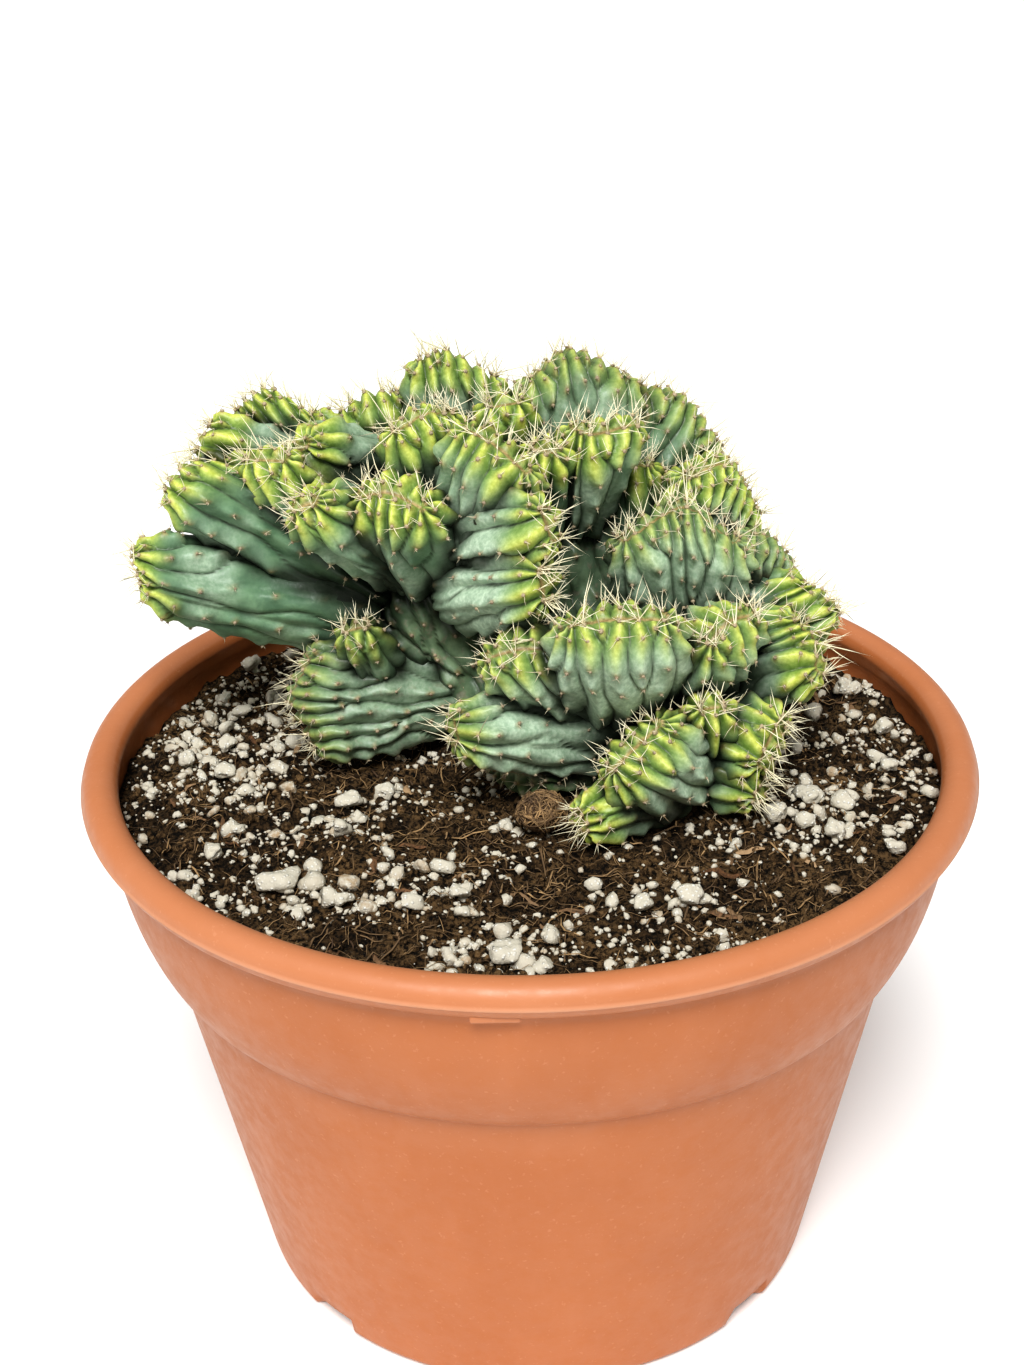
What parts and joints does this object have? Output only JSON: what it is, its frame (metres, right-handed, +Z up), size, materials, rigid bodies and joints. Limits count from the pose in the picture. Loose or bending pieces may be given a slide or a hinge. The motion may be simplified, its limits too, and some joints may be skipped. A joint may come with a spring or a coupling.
{
  "type": "potted crested blue candle cactus",
  "caption": "Crested blue candle cactus with a fused, many-lobed stem, standing in perlite-rich potting mix in a round terracotta-coloured plastic nursery pot.",
  "frame": {"origin": "centre of the pot's flat bottom, which is also the middle of the bottom of the whole object's box", "axes": "+Z up along the pot's axis, -Y towards the front"},
  "size_m": [0.2538, 0.2538, 0.268],
  "materials": {
    "terracotta_plastic": "satin moulded plastic, terracotta orange",
    "peat_mix": "dark crumbly peat with fibres and small perlite",
    "cactus_skin": "waxy blue-green skin, yellow-green at the crests",
    "perlite": "matt white popcorn-like grains",
    "bark": "rough brown bark",
    "coir_fibre": "matted brown fibre"
  },
  "bodies": {
    "root": {"pot": "terracotta_plastic", "potting_mix": "peat_mix", "crested_stem": "cactus_skin", "perlite_grain_01": "perlite", "perlite_grain_02": "perlite", "perlite_grain_03": "perlite", "perlite_grain_04": "perlite", "perlite_grain_05": "perlite", "perlite_grain_06": "perlite", "perlite_grain_07": "perlite", "perlite_grain_08": "perlite", "perlite_grain_09": "perlite", "perlite_grain_10": "perlite", "perlite_grain_11": "perlite", "perlite_grain_12": "perlite", "perlite_grain_13": "perlite", "perlite_grain_14": "perlite", "perlite_grain_15": "perlite", "perlite_grain_16": "perlite", "perlite_grain_17": "perlite", "perlite_grain_18": "perlite", "perlite_grain_19": "perlite", "perlite_grain_20": "perlite", "perlite_grain_21": "perlite", "perlite_grain_22": "perlite", "perlite_grain_23": "perlite", "perlite_grain_24": "perlite", "bark_chip_1": "bark", "bark_chip_2": "bark", "bark_chip_3": "bark", "bark_chip_4": "bark", "bark_chip_5": "bark", "bark_chip_6": "bark", "fibre_tuft": "coir_fibre"}
  },
  "joints": []
}
